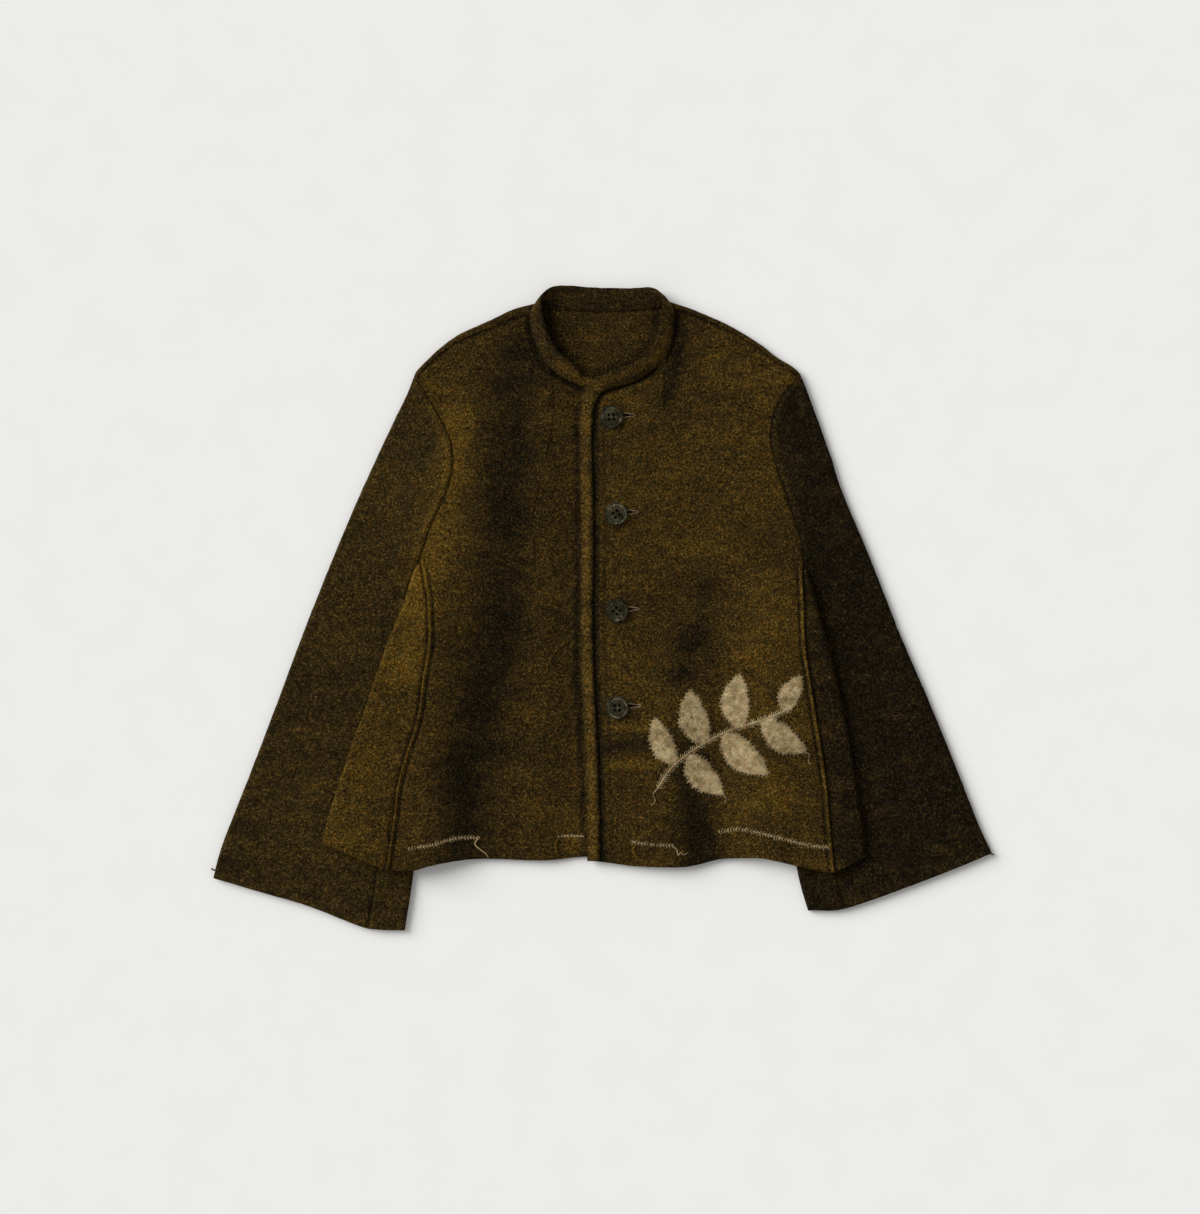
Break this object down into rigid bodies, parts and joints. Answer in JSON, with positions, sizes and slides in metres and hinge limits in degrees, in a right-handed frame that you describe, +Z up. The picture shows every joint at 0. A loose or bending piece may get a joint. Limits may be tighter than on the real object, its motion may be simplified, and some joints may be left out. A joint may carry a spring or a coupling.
{
  "type": "short boiled wool jacket",
  "caption": "Short bell-sleeved jacket of boiled wool with a band collar and buttoned front, laid flat on its back.",
  "frame": {"origin": "centre of the laid-out jacket's plan box, on the surface that it lies on", "axes": "+X towards the wearer's left sleeve, +Y from hem to collar, +Z up from the surface"},
  "size_m": [0.8009, 0.6625, 0.0214],
  "materials": {
    "body_wool": "matt felted wool",
    "sleeve_wool": "matt felted wool",
    "band_wool": "matt felted wool, folded strip",
    "buttons": "satin, worn"
  },
  "bodies": {
    "root": {"back": "body_wool", "front_right": "body_wool", "front_left": "body_wool", "side_right": "body_wool", "side_left": "body_wool", "sleeve_top_right": "sleeve_wool", "sleeve_under_right": "sleeve_wool", "sleeve_top_left": "sleeve_wool", "sleeve_under_left": "sleeve_wool", "edge_band": "band_wool", "button_1": "buttons", "button_2": "buttons", "button_3": "buttons", "button_4": "buttons"}
  },
  "joints": []
}
